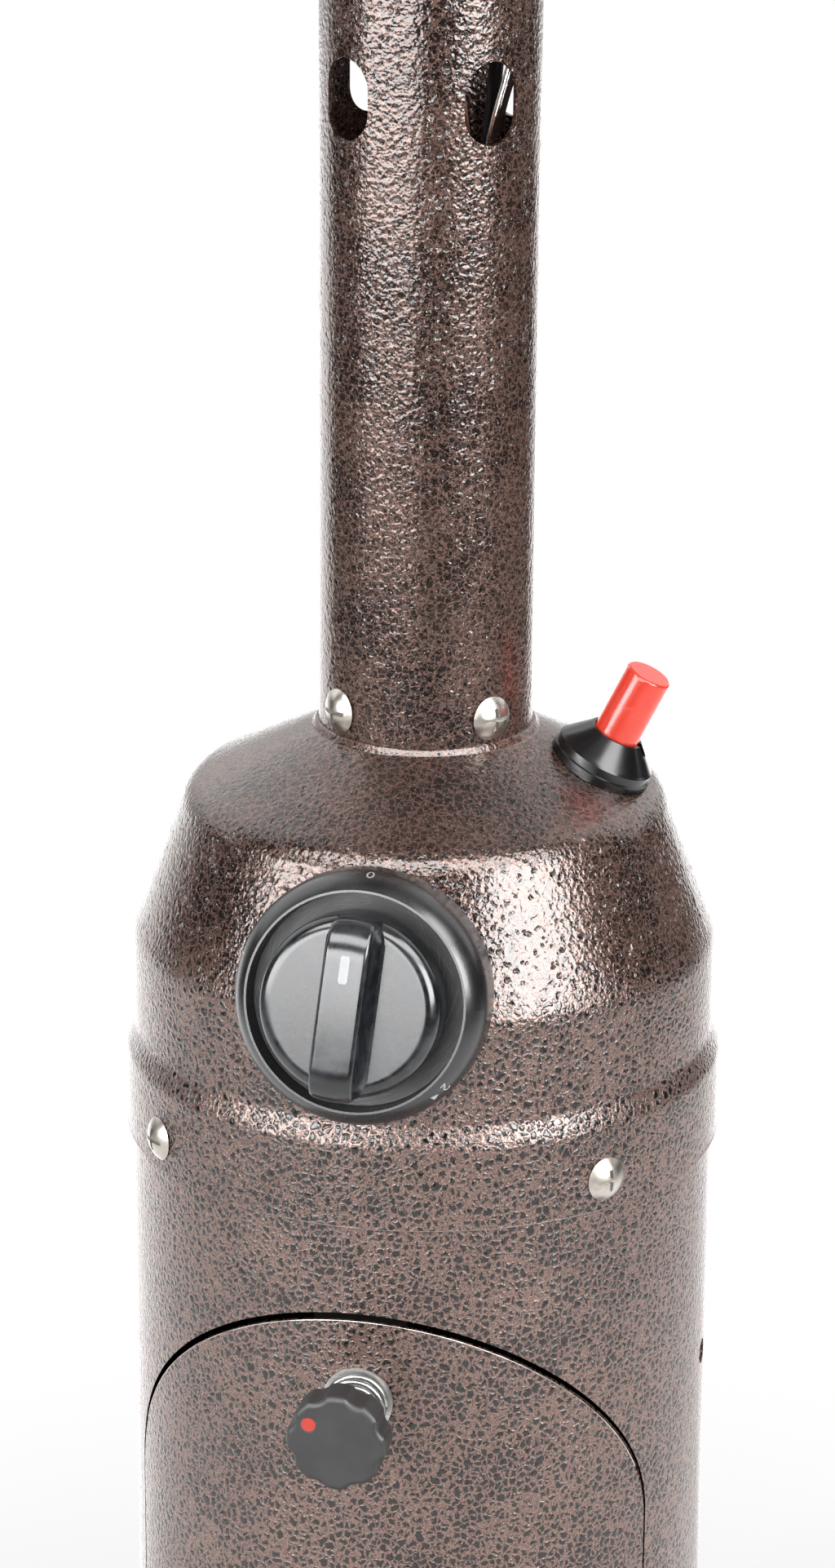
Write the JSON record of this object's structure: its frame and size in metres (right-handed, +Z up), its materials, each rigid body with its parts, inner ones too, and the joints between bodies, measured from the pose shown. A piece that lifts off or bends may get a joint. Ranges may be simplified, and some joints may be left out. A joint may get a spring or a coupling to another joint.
{
  "type": "tabletop propane patio heater",
  "caption": "Tabletop propane heater: weighted round base, cylinder housing with lift-out door, control dome with knob and push igniter, pole, and burner head under a wide reflector.",
  "frame": {"origin": "centre of the footprint, on the surface that the feet stand on", "axes": "+Z up along the pole; the door and the control knob face -Y; the igniter is on the +X side"},
  "size_m": [0.546, 0.546, 0.885],
  "materials": {
    "hammered_bronze": "glossy hammered bronze enamel",
    "bright_screw": "bright nickel plate",
    "spring_steel": "bright plated spring wire",
    "black_plastic": "satin black thermoset",
    "star_plastic": "matt dark grey nylon",
    "red_plastic": "glossy red",
    "steel": "zinc-plated sheet",
    "stainless": "satin stainless",
    "cast_iron": "black-painted casting",
    "die_cast": "as-cast alloy",
    "brass": "machined brass",
    "copper": "drawn copper",
    "aluminium": "bright spun aluminium",
    "rubber": "moulded rubber",
    "black_sleeve": "black silicone sleeve",
    "ceramic": "glazed ceramic"
  },
  "bodies": {
    "stand": {"base_plate": "hammered_bronze", "base_weight": "cast_iron", "rubber_feet": "rubber", "base_bolts": "steel", "base_nuts": "steel", "body_shell": "hammered_bronze", "latch_tab": "steel", "dome_housing": "hammered_bronze", "collar_screws": "bright_screw", "collar_nuts": "steel", "pole": "hammered_bronze", "pole_screws": "bright_screw", "pole_nuts": "steel", "dial_ring": "black_plastic", "stem_spring": "spring_steel", "gas_valve": "die_cast", "valve_screws": "steel", "valve_bracket": "steel", "regulator": "die_cast", "regulator_inlet": "brass", "inlet_disc": "brass", "feed_tube": "brass", "tilt_switch": "black_plastic", "tilt_switch_lead": "black_sleeve", "igniter_collar": "black_plastic", "igniter_barrel": "black_plastic", "igniter_nut": "black_plastic", "igniter_spring": "spring_steel", "igniter_wire": "black_sleeve", "main_gas_tube": "copper", "pilot_tube": "aluminium", "thermocouple_lead": "copper", "emitter_cup": "hammered_bronze", "cup_screws": "bright_screw", "orifice_holder": "brass", "mixing_tube": "stainless", "burner_head": "stainless", "pilot_bracket": "stainless", "pilot_burner": "stainless", "thermocouple_tip": "copper", "spark_electrode": "ceramic", "emitter_screen": "stainless", "emitter_cap": "stainless", "reflector_studs": "stainless", "reflector": "aluminium", "reflector_washers": "bright_screw", "wing_nuts": "bright_screw"},
    "door": {"door_panel": "hammered_bronze", "latch_seat_washer": "steel", "door_knob_spring": "spring_steel"},
    "latch_slider": {"latch_push_washer": "steel"},
    "door_latch": {"door_knob": "star_plastic", "door_knob_dot": "red_plastic", "latch_shaft": "steel", "latch_pin": "steel"},
    "stem_slider": {"stem_collar": "steel"},
    "control": {"control_knob": "black_plastic", "valve_stem": "brass"},
    "igniter": {"igniter_button": "red_plastic"}
  },
  "joints": [
    {"name": "door_tilt", "type": "hinge", "parent": "stand", "child": "door", "pos_m": [0, -0.0791, 0.052], "axis": [1, 0, 0], "range_deg": [0, 35]},
    {"name": "latch_push", "type": "slide", "parent": "door", "child": "latch_slider", "axis": [0, 1, 0], "range_m": [0, 0.004], "stiffness_N_per_m": 900, "springref_m": -0.004, "deforming": ["door_knob_spring"]},
    {"name": "latch_turn", "type": "hinge", "parent": "latch_slider", "child": "door_latch", "pos_m": [0, -0.1, 0.181], "axis": [0, 1, 0], "range_deg": [0, 90]},
    {"name": "control_push", "type": "slide", "parent": "stand", "child": "stem_slider", "axis": [0, 0.9816, -0.1908], "range_m": [0, 0.003], "stiffness_N_per_m": 1500, "springref_m": -0.003, "deforming": ["stem_spring"]},
    {"name": "control_turn", "type": "hinge", "parent": "stem_slider", "child": "control", "pos_m": [0, -0.07667, 0.2932], "axis": [0, -0.9816, 0.1908], "range_deg": [0, 215]},
    {"name": "igniter_press", "type": "slide", "parent": "stand", "child": "igniter", "axis": [-0.4404, 0, -0.8978], "range_m": [0, 0.006], "stiffness_N_per_m": 1200, "springref_m": -0.003, "deforming": ["igniter_spring"]}
  ]
}
